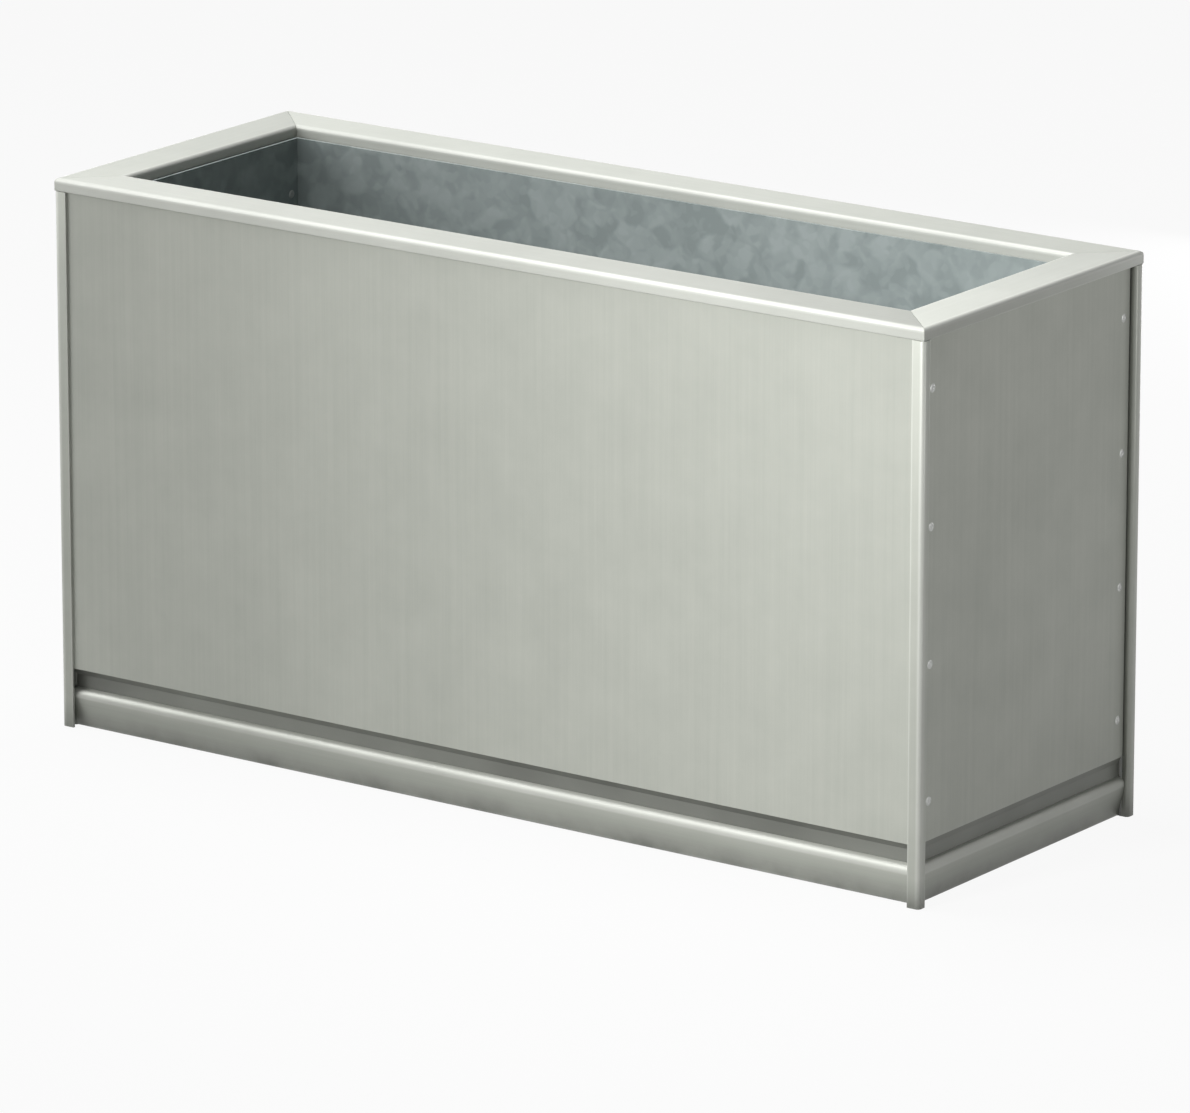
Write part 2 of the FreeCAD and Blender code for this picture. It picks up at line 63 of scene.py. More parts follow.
# Meshes: distances in metres, angles in degrees
SECTION_MERGE = 1e-7  # points of a section that are one with those of the length drawn from it
NODE_MERGE = 1e-6  # corners of a node's loose triangles that are one
FLAT_ANGLE = 1  # lean within which those triangles make one flat
BROKEN_ANGLE, BROKEN_STEPS = 40, 2  # edges past this angle are broken, in this many steps
FLAT_WEIGHT = 90  # how much large flats lead the shading beside broken edges
BEND_MARGIN = 0.0015  # width of the marked line beside a bend: painted lighter as wear and highlight on a bend, painted with shade in a crease
PANEL_STEP, PANEL_COLUMNS, PANEL_ROWS = 0.02, 8, 20  # grid of a panel: step, fewest columns, rows
PANEL_FALL = 1.5  # how steeply a panel's swell falls off towards its edges
SHARP_ANGLE, RIVET_SHARP_ANGLE = 25, 50  # edges past these angles are shaded sharp
HEAD_SIDES, HEAD_RINGS, HEAD_TIP, TAIL_SIDES = 24, 8, 0.0001, 16  # flats of a rivet, and the tip's radius
DENT_REACH, DENT_DROP = 0.3, 0.55  # dent of a rivet's pin, as shares of the head's radius and rise

# Finishes: grain and crystals per metre
GRAIN_FINE, GRAIN_BROAD = (9.0, 1500.0, 1.0), (2.2, 190.0, 1.0)  # streaks along and across the grain
BLOTCH_SCALE, MOTTLE_SCALE, WAVE_SCALE = 5.0, 24.0, 9.0  # soft marks and waves of the satin sheet
SHEET_ROUGHNESS, RIM_ROUGHNESS = 0.44, 0.52
FLOOR_SHADOW_TOP, FLOOR_SHADOW_FULL, FLOOR_SHADOW_SHARE = 0.024, 0.002, 0.85  # heights and share of the painted shadow above the floor
CRYSTALS_LARGE, CRYSTALS_SMALL, BLOOM_SCALE = 62.0, 150.0, 7.0  # galvanised sheet
WARP_SCALE, WARP = 45.0, 0.012  # how the crystals' outlines waver
FILM_SCALE, FILM_SHADE = 420.0, 0.72  # dull film on the rivets

# Stage: place, target, width and height of each soft box, the floor's half side and level, the sensor
LAMPS = {
    "key": ((-2.0, -1.2, 1.35), (0, 0, 0.4), (1.6, 1.6)),
    "top": ((-0.75, -0.10, 2.4), (-0.2, 0, 0.4), (1.2, 1.2)),
    "front": ((0.1, -1.5, 1.0), (0.45, 0, 0.27), (0.3, 0.3)),
    "fill": ((2.0, 0.30, 0.40), (0, 0, 0.40), (0.5, 0.12)),
    "back": ((0, 1.80, 0.24), (0, 0, 0.24), (1.2, 0.4)),
}
FLOOR_REACH, FLOOR_LEVEL = 30.0, -0.0004
SENSOR_WIDTH, VIEW_END = 36.0, 100.0

half_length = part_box("rim_right")[1].x
half_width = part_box("rim_back")[1].y
rim_low, rim_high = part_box("rim_front")


# Properties

def length(name, description, default):
    """A length a user may change, in metres."""
    return FloatProperty(
        name=name, description=description, default=default, min=0, precision=4, unit="LENGTH",
    )


def share(name, description, default):
    """A share from nought to one."""
    return FloatProperty(name=name, description=description, default=default, min=0, max=1, subtype="FACTOR")


def angle(name, description, degrees):
    """An angle, given in degrees."""
    return FloatProperty(name=name, description=description, default=math.radians(degrees), subtype="ANGLE")


def power(name, description, default):
    """A lamp's power in watts."""
    return FloatProperty(name=name, description=description, default=default, min=0, unit="POWER")


def colour(name, description, default):
    """A linear colour."""
    return FloatVectorProperty(
        name=name, description=description, default=default, min=0, max=1, subtype="COLOR",
    )


class PlanterFolds(bpy.types.PropertyGroup):
    """Sheets, bends and seams of the folded pieces"""
    frame_sheet: length("Frame sheet", "Sheet of the rim and the corner angles", 0.002)
    rail_sheet: length("Rail sheet", "Sheet of the base rails", 0.0015)
    edge: length("Edge", "Broken edge along cut sheet", 0.0003)
    seam: length("Seam", "Open seam between two mitred lengths", 0.0003)
    bend_steps: IntProperty(name="Bend steps", description="Flats in one bend", default=8, min=2, max=24)
    rim_skirt: length("Rim skirt", "Drop of the rim outside", 0.010)
    rim_bend: length("Rim bend", "Outer radius of the rim's bends", 0.003)
    corner_front_leg: length("Front leg", "Corner angle's leg on the front and the back", 0.011)
    corner_end_leg: length("End leg", "Corner angle's leg on the ends", 0.010)
    corner_flange: length("Flange", "Corner angle's flange behind the end panel", 0.016)
    corner_bend: length("Corner bend", "Outer radius of the corner angles' bends", 0.003)
    panel_crown: length("Panel crown", "How far a panel swells in its middle", 0.0006)


class PlanterBase(bpy.types.PropertyGroup):
    """Section of the base rails"""
    lap_top: length("Lap top", "Top of the lap behind the panel, above the floor", 0.063)
    groove_top: length("Groove top", "Upper edge of the groove above the floor", 0.049)
    groove_slope: length("Groove slope", "Height of the groove's sloping upper wall", 0.006)
    groove_depth: length("Groove depth", "Groove's back wall behind the frame", 0.0092)
    nose_top: length("Nose top", "Top of the rounded nose above the floor", 0.032)
    nose_bend: length("Nose bend", "Radius of the nose at the sheet's middle", 0.005)
    nose_depth: length("Nose depth", "Front of the nose behind the frame", 0.0022)
    face_draw: length("Face draw", "How far the face draws in at the floor", 0.0065)
    foot_depth: length("Foot depth", "Inner edge of the foot behind the frame", 0.024)
    crease: length("Crease", "Radius of the small creases", 0.001)
    tight_crease: length("Tight crease", "Radius of the crease behind the nose", 0.0008)
    lead: length("Lead", "How far the front and back rails run past the mitre line", 0.001)


class PlanterRivets(bpy.types.PropertyGroup):
    """Domed blind rivets"""
    head: length("Head", "Diameter of a rivet's head", 0.007)
    rise: length("Rise", "Height of a rivet's domed head", 0.0007)
    tail: length("Tail", "Diameter of a rivet's closed end", 0.0055)
    tail_rise: length("Tail rise", "Height of a rivet's closed end", 0.001)
    corner_grip: length("Corner grip", "Sheets under a corner rivet", 0.0035)
    liner_grip: length("Liner grip", "Sheets under a liner rivet", 0.002)
    count: IntProperty(name="Count", description="Rivets in one upright row", default=4, min=2)


class PlanterFinish(bpy.types.PropertyGroup):
    """Colours of the finishes"""
    sheet_light: colour("Sheet light", "Light streaks of the panels, angles and rails", (0.46, 0.475, 0.425))
    sheet_dark: colour("Sheet dark", "Dark streaks of the panels, angles and rails", (0.36, 0.375, 0.335))
    # The rim's tones are the sheet's tones painted lighter, for the light that its top catches from above.
    rim_painted_lit_light: colour("Rim light", "Light streaks of the rim", (0.545, 0.56, 0.515))
    rim_painted_lit_dark: colour("Rim dark", "Dark streaks of the rim", (0.45, 0.465, 0.425))
    # This colour paints bends and edges lighter: partly wear, partly a painted highlight.
    wear_and_highlight: colour("Worn", "Metal rubbed bright along bends and edges", (0.64, 0.65, 0.61))
    # This colour is painted shade in the creases and a painted shadow along the floor.
    painted_shade: colour("Grime", "Dirt in the creases and along the floor", (0.13, 0.135, 0.12))
    zinc_light: colour("Zinc light", "Light crystals of the galvanised sheet", (0.36, 0.405, 0.40))
    zinc_dark: colour("Zinc dark", "Dark crystals of the galvanised sheet", (0.25, 0.29, 0.285))
    rivet: colour("Rivet", "Satin rivets", (0.55, 0.56, 0.54))
    metal: share("Metal", "How metallic the satin sheet is", 0.25)
    rim_metal: share("Rim metal", "How metallic the rim is", 0.1)


class PlanterStage(bpy.types.PropertyGroup):
    """Camera, lights and floor"""
    azimuth: angle("Azimuth", "Camera's turn from the front to the right", 35.9)
    elevation: angle("Elevation", "Camera above the horizon", 15.59)
    distance: length("Distance", "Camera to its target", 7.168)
    target_height: length("Target height", "Camera's target above the floor", 0.1741)
    lens: FloatProperty(
        name="Lens", description="Focal length in millimetres on a 36 mm sensor", default=276.8,
    )
    shift: FloatProperty(name="Shift", description="Sideways shift of the picture", default=0.0041)
    key_power: power("Key power", "Soft box at the front left", 35.0)
    top_power: power("Top power", "Soft box overhead", 44.0)
    front_power: power("Front power", "Gridded soft box before the right half of the front", 2.8)
    fill_power: power("Fill power", "Gridded soft box before the right end", 0.28)
    back_power: power("Back power", "Low soft box behind", 9.0)
    ambient: FloatProperty(name="Ambient", description="Strength of the light from all round", default=0.05)
    front_spread: angle("Front spread", "Fan of the soft box before the front", 60)
    fill_spread: angle("Fill spread", "Fan of the soft box before the right end", 40)
    floor: colour("Floor", "Plain pale floor", (0.5, 0.5, 0.5))
    floor_white: share("Floor white", "How much of the floor is seen as plain white", 0.93)


# Node helpers

def feed(tree, socket, value):
    """Link a socket to another node's output, or set its value."""
    if isinstance(value, bpy.types.NodeSocket):
        tree.links.new(value, socket)
    else:
        socket.default_value = value


def add(tree, kind, inputs=None, **options):
    """Add a node with its options, and feed its inputs by name or number."""
    made = tree.nodes.new(kind)
    for option, value in options.items():
        setattr(made, option, value)
    for name, value in (inputs or {}).items():
        feed(tree, made.inputs[name], value)
    return made


def compute(tree, operation, *values):
    """The result of one Math node."""
    return add(tree, "ShaderNodeMath", dict(enumerate(values)), operation=operation).outputs[0]


def weighed(tree, *parts):
    """The sum of (value, weight) parts."""
    total, *others = [compute(tree, "MULTIPLY", value, weight) for value, weight in parts]
    for other in others:
        total = compute(tree, "ADD", total, other)
    return total


# Meshes and pieces

def placed(name, data):
    """A new object in the scene."""
    made = bpy.data.objects.new(name, data)
    bpy.context.scene.collection.objects.link(made)
    return made


def side_turn(side):
    """Takes a piece drawn for the front, with its outer face at zero depth, to a side."""
    turn = Matrix.Rotation(math.radians(90) * SIDES.index(side), 4, "Z")
    reach = half_width if side in FACES else half_length
    return turn @ Matrix.Translation((0, -reach, 0))


def run_of(side):
    """Length of a side over its corners."""
    return 2 * (half_length if side in FACES else half_width)


def panel_depths(side):
    """Depths of a panel's outer and inner face behind the outer face of that side."""
    axis, reach = ("y", half_width) if side in FACES else ("x", half_length)
    depths = [reach - abs(getattr(corner, axis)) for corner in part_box(f"{side}_panel")]
    return min(depths), max(depths)


def bent_line(corners, steps):
    """Points along a bent line of (x, y, radius, mark) corners, marked on the bends and 0 on the flats.

    The mark is 1 for a bend painted lighter, as wear and as a painted highlight, which is usual, and -1 for a
    crease painted with shade.
    """
    spots = [Vector(corner[:2]) for corner in corners]
    marked = [(spots[0], 1.0)]
    for number in range(1, len(spots) - 1):
        here, radius = spots[number], corners[number][2]
        mark = corners[number][3] if len(corners[number]) > 3 else 1.0
        come = (here - spots[number - 1]).normalized()
        leave = (spots[number + 1] - here).normalized()
        bend = math.atan2(come.x * leave.y - come.y * leave.x, come.dot(leave))
        inward = Vector((-come.y, come.x)) * math.copysign(1, bend)
        start = here - come * radius * math.tan(abs(bend) / 2)
        centre = start + inward * radius
        for step in range(steps + 1):
            arm = Matrix.Rotation(bend * step / steps, 2) @ -inward
            marked.append((centre + arm * radius, mark))
    marked.append((spots[-1], 1.0))
    return with_flats(marked)


def with_flats(marked, margin=BEND_MARGIN):
    """The same points, with an unmarked point near each end of every long flat, unless the flat lies wholly in
    painted shade.
    """
    filled = [marked[0]]
    for (a, mark_a), (b, mark_b) in zip(marked, marked[1:]):
        run = b - a
        if run.length > 3 * margin and max(mark_a, mark_b) > 0:
            step = run.normalized() * margin
            if mark_a:
                filled.append((a + step, 0.0))
            if mark_b:
                filled.append((b - step, 0.0))
        filled.append((b, mark_b))
    return filled


def sheet_faces(marked, thickness):
    """Points on the left and the right face of a sheet along its middle line, with their marks."""
    spots = [spot for spot, _ in marked]
    left, right = [], []
    for number, (spot, mark) in enumerate(marked):
        before, after = spots[max(number - 1, 0):], spots[max(number, 1):number + 2]
        runs = [(b - a).normalized() for a, b in zip(before, after)]
        normals = [Vector((-run.y, run.x)) for run in runs]
        normal = sum(normals, Vector((0, 0))).normalized()
        reach = thickness / 2 / normal.dot(normals[0])
        left.append((spot + normal * reach, mark))
        right.append((spot - normal * reach, mark))
    return left, right


def new_piece(name, mesh, body, replaced):
    """An object for a finished mesh, on its body, in place of CAD nodes."""
    piece = placed(name, mesh)
    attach(piece, body)
    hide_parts(*replaced)


def evaluated_mesh(source, name):
    """The finished mesh of an object with modifiers; the object itself is taken away."""
    depsgraph = bpy.context.evaluated_depsgraph_get()
    mesh = bpy.data.meshes.new_from_object(source.evaluated_get(depsgraph))
    mesh.name = name
    bpy.data.objects.remove(source)
    return mesh


def shade(mesh, sharp=SHARP_ANGLE):
    """Smooth faces with sharp edges past an angle in degrees."""
    mesh.polygons.foreach_set("use_smooth", [True] * len(mesh.polygons))
    mesh.set_sharp_from_angle(angle=math.radians(sharp))
    mesh.update()


def face_out(mesh):
    """Turn every face of a closed mesh outwards."""
    made = bmesh.new()
    made.from_mesh(mesh)
    bmesh.ops.recalc_face_normals(made, faces=made.faces)
    made.to_mesh(mesh)
    made.free()


def break_edges(source, width):
    """Break the cut edges of a piece."""
    bevel = source.modifiers.new("broken_edges", "BEVEL")
    bevel.width = width
    bevel.segments = BROKEN_STEPS
    bevel.limit_method = "ANGLE"
    bevel.angle_limit = math.radians(BROKEN_ANGLE)
    bevel.use_clamp_overlap = True


# Geometry trees

def new_tree(name, sockets):
    """A geometry tree with named inputs, and its group input and output nodes."""
    tree = bpy.data.node_groups.new(name, "GeometryNodeTree")
    tree.interface.new_socket("Geometry", in_out="INPUT", socket_type="NodeSocketGeometry")
    for label, kind in sockets:
        tree.interface.new_socket(label, in_out="INPUT", socket_type=f"NodeSocket{kind}")
    tree.interface.new_socket("Geometry", in_out="OUTPUT", socket_type="NodeSocketGeometry")
    return tree, tree.nodes.new("NodeGroupInput").outputs, tree.nodes.new("NodeGroupOutput").inputs


def grow(source, tree, values):
    """Put a geometry tree on an object and set its inputs by their identifiers."""
    modifier = source.modifiers.new(tree.name, "NODES")
    modifier.node_group = tree
    for item in tree.interface.items_tree:
        if item.in_out == "INPUT" and item.name in values:
            modifier[item.identifier] = values[item.name]


def join(tree, *parts):
    """One geometry out of several."""
    made = add(tree, "GeometryNodeJoinGeometry")
    for part in parts:
        tree.links.new(part, made.inputs[0])
    return made.outputs[0]


def dress(tree, result, geometry, finish):
    """End a tree in plain geometry with its finish."""
    real = add(tree, "GeometryNodeRealizeInstances", {"Geometry": geometry})
    dressed = add(tree, "GeometryNodeSetMaterial", {"Geometry": real.outputs[0], "Material": finish})
    feed(tree, result["Geometry"], dressed.outputs[0])
    return tree


def folded_length_tree():
    """Draws a section of sheet out along X and mitres both ends by the depth of each point."""
    tree, given, result = new_tree("folded_length", [
        ("Length", "Float"), ("Stop", "Float"), ("Seam", "Float"), ("Mitre", "Float"), ("Finish", "Material"),
    ])
    half = compute(tree, "MULTIPLY", given["Length"], 0.5)
    start = add(tree, "ShaderNodeCombineXYZ", {"X": compute(tree, "MULTIPLY", half, -1.0)})
    section = add(tree, "GeometryNodeTransform", {
        "Geometry": given["Geometry"], "Translation": start.outputs[0],
    })
    way = add(tree, "ShaderNodeCombineXYZ", {"X": given["Length"]})
    drawn = add(tree, "GeometryNodeExtrudeMesh", {
        "Mesh": section.outputs[0], "Offset": way.outputs[0], "Offset Scale": 1.0, "Individual": False,
    }, mode="FACES")
    first = add(tree, "GeometryNodeFlipFaces", {"Mesh": section.outputs[0]})
    closed = add(tree, "GeometryNodeMergeByDistance", {
        "Geometry": join(tree, drawn.outputs["Mesh"], first.outputs[0]), "Distance": SECTION_MERGE,
    })
    place = add(tree, "ShaderNodeSeparateXYZ", {0: add(tree, "GeometryNodeInputPosition").outputs[0]})
    x, y, z = place.outputs
    reach = compute(tree, "SUBTRACT", half, compute(tree, "MULTIPLY", given["Seam"], 0.5))
    reach = compute(tree, "SUBTRACT", reach, compute(tree, "MULTIPLY", y, given["Mitre"]))
    reach = compute(tree, "MINIMUM", reach, compute(tree, "SUBTRACT", half, given["Stop"]))
    along = compute(tree, "MULTIPLY", compute(tree, "SIGN", x), reach)
    spot = add(tree, "ShaderNodeCombineXYZ", {"X": along, "Y": y, "Z": z})
    mitred = add(tree, "GeometryNodeSetPosition", {
        "Geometry": closed.outputs[0], "Position": spot.outputs[0],
    })
    grain = add(tree, "ShaderNodeCombineXYZ", {"X": x, "Y": compute(tree, "ADD", y, z)})
    mapped = add(tree, "GeometryNodeStoreNamedAttribute", {
        "Geometry": mitred.outputs[0], "Name": "grain", "Value": grain.outputs[0],
    }, data_type="FLOAT2", domain="CORNER")
    return dress(tree, result, mapped.outputs[0], given["Finish"])


def cut_box(source, low, high):
    """Cut a box out of a piece, and give the cutter back."""
    made = bmesh.new()
    bmesh.ops.create_cube(made, size=1, matrix=Matrix.LocRotScale((low + high) / 2, None, high - low))
    mesh = bpy.data.meshes.new("cutter")
    made.to_mesh(mesh)
    made.free()
    cutter = placed("cutter", mesh)
    notch = source.modifiers.new("notch", "BOOLEAN")
    notch.operation = "DIFFERENCE"
    notch.solver = "EXACT"
    notch.object = cutter
    return cutter


def folded_length(name, section, values, edge=0, notch=None):
    """Mesh of one folded length from the marked (depth, height) points of its sheet.

    Its cut edges are broken by edge, and a box notch is cut out of it, where they are given.
    """
    left, right = section
    mesh = bpy.data.meshes.new(f"{name}_section")
    count = len(left)
    flats = [(count + i, count + i + 1, i + 1, i) for i in range(count - 1)]
    mesh.from_pydata([(0, *spot) for spot, _ in left + right], [], flats)
    marks = mesh.attributes.new("fold", "FLOAT", "POINT")
    marks.data.foreach_set("value", [mark for _, mark in left + right])
    source = placed(f"{name}_source", mesh)
    tree = bpy.data.node_groups.get("folded_length") or folded_length_tree()
    grow(source, tree, values)
    cutters = [cut_box(source, *notch)] if notch else []
    if edge:
        break_edges(source, edge)
    mesh = evaluated_mesh(source, name)
    for cutter in cutters:
        bpy.data.objects.remove(cutter)
    face_out(mesh)
    return mesh


def rivet_tree():
    """Sets a domed blind rivet, with the dent of its pin and its closed end, on every marked seat."""
    tree, given, result = new_tree("rivets", [
        ("Head", "Float"), ("Rise", "Float"), ("Grip", "Float"),
        ("Tail", "Float"), ("Tail rise", "Float"), ("Finish", "Material"),
    ])
    radius = compute(tree, "MULTIPLY", given["Head"], 0.5)
    dome = add(tree, "GeometryNodeMeshCone", {
        "Vertices": HEAD_SIDES, "Side Segments": HEAD_RINGS,
        "Radius Top": HEAD_TIP, "Radius Bottom": radius, "Depth": given["Rise"],
    })
    place = add(tree, "ShaderNodeSeparateXYZ", {0: add(tree, "GeometryNodeInputPosition").outputs[0]})
    x, y, _ = place.outputs
    squares = [compute(tree, "MULTIPLY", value, value) for value in (x, y)]
    out = compute(tree, "DIVIDE", compute(tree, "SQRT", compute(tree, "ADD", *squares)), radius)
    curve = compute(tree, "SUBTRACT", 1.0, compute(tree, "MULTIPLY", out, out))
    dent = compute(tree, "MULTIPLY", compute(tree, "LESS_THAN", out, DENT_REACH), DENT_DROP)
    height = compute(tree, "MULTIPLY", given["Rise"], compute(tree, "SUBTRACT", curve, dent))
    spot = add(tree, "ShaderNodeCombineXYZ", {"X": x, "Y": y, "Z": height})
    head = add(tree, "GeometryNodeSetPosition", {"Geometry": dome.outputs[0], "Position": spot.outputs[0]})
    barrel = add(tree, "GeometryNodeMeshCylinder", {
        "Vertices": TAIL_SIDES, "Radius": compute(tree, "MULTIPLY", given["Tail"], 0.5),
        "Depth": given["Tail rise"],
    })
    drop = compute(tree, "ADD", given["Grip"], compute(tree, "MULTIPLY", given["Tail rise"], 0.5))
    under = add(tree, "ShaderNodeCombineXYZ", {"Z": compute(tree, "MULTIPLY", drop, -1.0)})
    tail = add(tree, "GeometryNodeTransform", {
        "Geometry": barrel.outputs[0], "Translation": under.outputs[0],
    })
    rivet = join(tree, head.outputs[0], tail.outputs[0])
    facing = add(tree, "GeometryNodeInputNamedAttribute", {"Name": "facing"}, data_type="FLOAT_VECTOR")
    lean = add(tree, "FunctionNodeAlignRotationToVector", {"Vector": facing.outputs[0]}, axis="Z")
    seated = add(tree, "GeometryNodeInstanceOnPoints", {
        "Points": given["Geometry"], "Instance": rivet, "Rotation": lean.outputs[0],
    })
    return dress(tree, result, seated.outputs[0], given["Finish"])


def rivet_row(name, seats, values):
    """Mesh of all the rivets at seats of (place, facing)."""
    mesh = bpy.data.meshes.new(f"{name}_seats")
    mesh.from_pydata([place for place, _ in seats], [], [])
    facing = mesh.attributes.new("facing", "FLOAT_VECTOR", "POINT")
    facing.data.foreach_set("vector", [number for _, way in seats for number in way])
    source = placed(f"{name}_source", mesh)
    tree = bpy.data.node_groups.get("rivets") or rivet_tree()
    grow(source, tree, values)
    mesh = evaluated_mesh(source, name)
    shade(mesh, RIVET_SHARP_ANGLE)
    return mesh


# Finishes

def new_finish(name):
    """A new material, its tree and its Principled shader."""
    material = bpy.data.materials.new(name)
    material.use_nodes = True
    tree = material.node_tree
    return material, tree, tree.nodes["Principled BSDF"]


def ranged(tree, value, low, high):
    """A noise value spread over a range."""
    return add(tree, "ShaderNodeMapRange", {
        "Value": value, "From Min": 0.3, "From Max": 0.7, "To Min": low, "To Max": high,
    }).outputs["Result"]


def noise(tree, vector, scale, detail, stretch=(1.0, 1.0, 1.0)):
    """Noise on stretched coordinates."""
    mapped = add(tree, "ShaderNodeMapping", {"Vector": vector, "Scale": stretch})
    made = add(tree, "ShaderNodeTexNoise", {
        "Vector": mapped.outputs[0], "Scale": scale, "Detail": detail, "Roughness": 0.6,
    })
    return made.outputs[0]


def blend_colours(tree, factor, first, second):
    """Two colours mixed by a factor."""
    mix = add(tree, "ShaderNodeMix", {"Factor": factor}, data_type="RGBA")
    feed(tree, mix.inputs[6], first)
    feed(tree, mix.inputs[7], second)
    return mix.outputs[2]


def opaque(values):
    """A colour with full alpha."""
    return (*values, 1.0)


def brushed_finish(name, light, dark, wear_and_highlight, painted_shade, metal, rough):
    """Satin sheet with fine streaks along its grain, soft blotches, bends painted lighter as wear and
    highlight, creases painted with shade, and a painted shadow towards the floor.
    """
    material, tree, shader = new_finish(name)
    grain = add(tree, "ShaderNodeUVMap", uv_map="grain").outputs[0]
    body = add(tree, "ShaderNodeTexCoord").outputs["Object"]
    fine = noise(tree, grain, 1.0, 3.0, GRAIN_FINE)
    broad = noise(tree, grain, 1.0, 2.0, GRAIN_BROAD)
    blotch = noise(tree, body, BLOTCH_SCALE, 3.0)
    mottle = noise(tree, body, MOTTLE_SCALE, 4.0)
    streak = weighed(tree, (fine, 0.5), (broad, 0.5))
    cloud = weighed(tree, (blotch, 0.5), (mottle, 0.5))
    tone = weighed(tree, (streak, 0.4), (cloud, 0.6))
    base = blend_colours(tree, ranged(tree, tone, 0.0, 1.0), opaque(dark), opaque(light))
    fold = add(tree, "ShaderNodeAttribute", attribute_name="fold").outputs["Fac"]
    # Bends marked 1 are painted lighter, partly as wear and partly as a painted highlight.
    rubbed_and_highlit = compute(tree, "MULTIPLY", compute(tree, "MAXIMUM", fold, 0.0), ranged(tree, blotch, 0.3, 0.65))
    # Creases marked -1 are painted with shade.
    crease = compute(tree, "MAXIMUM", compute(tree, "MULTIPLY", fold, -1.0), 0.0)
    painted_shade_mask = compute(tree, "MULTIPLY", crease, ranged(tree, blotch, 0.6, 0.95))
    # Painted shadow: the sheet darkens towards the floor.
    height = add(tree, "ShaderNodeSeparateXYZ", {0: body}).outputs["Z"]
    painted_floor_shadow = add(tree, "ShaderNodeMapRange", {
        "Value": height, "From Min": FLOOR_SHADOW_TOP, "From Max": FLOOR_SHADOW_FULL,
        "To Min": 0.0, "To Max": FLOOR_SHADOW_SHARE,
    }).outputs["Result"]
    painted_shade_mask = compute(tree, "MAXIMUM", painted_shade_mask, compute(tree, "MULTIPLY", painted_floor_shadow, ranged(tree, mottle, 0.5, 1.0)))
    before_painted_shade = blend_colours(tree, rubbed_and_highlit, base, opaque(wear_and_highlight))
    feed(tree, shader.inputs["Base Color"], blend_colours(tree, painted_shade_mask, before_painted_shade, opaque(painted_shade)))
    shader.inputs["Metallic"].default_value = metal
    feed(tree, shader.inputs["Roughness"], ranged(tree, tone, rough + 0.07, rough - 0.05))
    waves = noise(tree, body, WAVE_SCALE, 1.0)
    swell = add(tree, "ShaderNodeBump", {"Strength": 0.25, "Distance": 0.002, "Height": waves})
    scratches = add(tree, "ShaderNodeBump", {
        "Strength": 0.08, "Distance": 0.0003, "Height": streak, "Normal": swell.outputs[0],
    })
    feed(tree, shader.inputs["Normal"], scratches.outputs[0])
    return material


def crystals(tree, vector, scale):
    """A tone for each crystal of zinc, blending softly into the next."""
    cells = add(tree, "ShaderNodeTexVoronoi", {
        "Vector": vector, "Scale": scale, "Smoothness": 0.55,
    }, feature="SMOOTH_F1")
    return add(tree, "ShaderNodeSeparateColor", {0: cells.outputs["Color"]}).outputs[0]


def galvanised_finish(name, light, dark):
    """Hot-dipped zinc: overlapping crystals, each with its own tone and gloss."""
    material, tree, shader = new_finish(name)
    body = add(tree, "ShaderNodeTexCoord").outputs["Object"]
    warp = add(tree, "ShaderNodeTexNoise", {"Vector": body, "Scale": WARP_SCALE, "Detail": 2.0})
    nudge = add(tree, "ShaderNodeVectorMath", {0: warp.outputs["Color"], "Scale": WARP}, operation="SCALE")
    spot = add(tree, "ShaderNodeVectorMath", {0: body, 1: nudge.outputs[0]}, operation="ADD").outputs[0]
    large = crystals(tree, spot, CRYSTALS_LARGE)
    small = crystals(tree, spot, CRYSTALS_SMALL)
    bloom = noise(tree, body, BLOOM_SCALE, 4.0)
    tone = weighed(tree, (large, 0.4), (small, 0.2), (bloom, 0.4))
    zinc = blend_colours(tree, ranged(tree, tone, 0.0, 1.0), opaque(dark), opaque(light))
    feed(tree, shader.inputs["Base Color"], zinc)
    shader.inputs["Metallic"].default_value = 0.05
    shader.inputs["Specular IOR Level"].default_value = 0.3
    feed(tree, shader.inputs["Roughness"], ranged(tree, large, 0.56, 0.42))
    bump = add(tree, "ShaderNodeBump", {"Strength": 0.2, "Distance": 0.0004, "Height": tone})
    feed(tree, shader.inputs["Normal"], bump.outputs[0])
    return material


def rivet_finish(name, tint):
    """Satin rivet with a dull film."""
    material, tree, shader = new_finish(name)
    body = add(tree, "ShaderNodeTexCoord").outputs["Object"]
    film = noise(tree, body, FILM_SCALE, 3.0)
    dull = tuple(FILM_SHADE * value for value in tint)
    satin = blend_colours(tree, ranged(tree, film, 0.0, 1.0), opaque(dull), opaque(tint))
    feed(tree, shader.inputs["Base Color"], satin)
    shader.inputs["Metallic"].default_value = 0.6
    feed(tree, shader.inputs["Roughness"], ranged(tree, film, 0.46, 0.32))
    bump = add(tree, "ShaderNodeBump", {"Strength": 0.15, "Distance": 0.0002, "Height": film})
    feed(tree, shader.inputs["Normal"], bump.outputs[0])
    return material


def finish_of(scene, name):
    """The named finish, made on first use."""
    made = bpy.data.materials.get(name)
    if made:
        return made
    tints = scene.planter_finish
    if name == "satin_sheet":
        tones = tints.sheet_light, tints.sheet_dark, tints.wear_and_highlight, tints.painted_shade
        return brushed_finish(name, *tones, tints.metal, SHEET_ROUGHNESS)
    # The rim is the satin sheet with colours painted lighter for the light on its top, less metal and more
    # roughness.
    if name == "satin_rim":
        tones = tints.rim_painted_lit_light, tints.rim_painted_lit_dark, tints.wear_and_highlight, tints.painted_shade
        return brushed_finish(name, *tones, tints.rim_metal, RIM_ROUGHNESS)
    if name == "galvanised_sheet":
        return galvanised_finish(name, tints.zinc_light, tints.zinc_dark)
    if name == "satin_rivet":
        return rivet_finish(name, tints.rivet)
    raise ValueError(f"no finish named {name}")


# Galvanised pieces

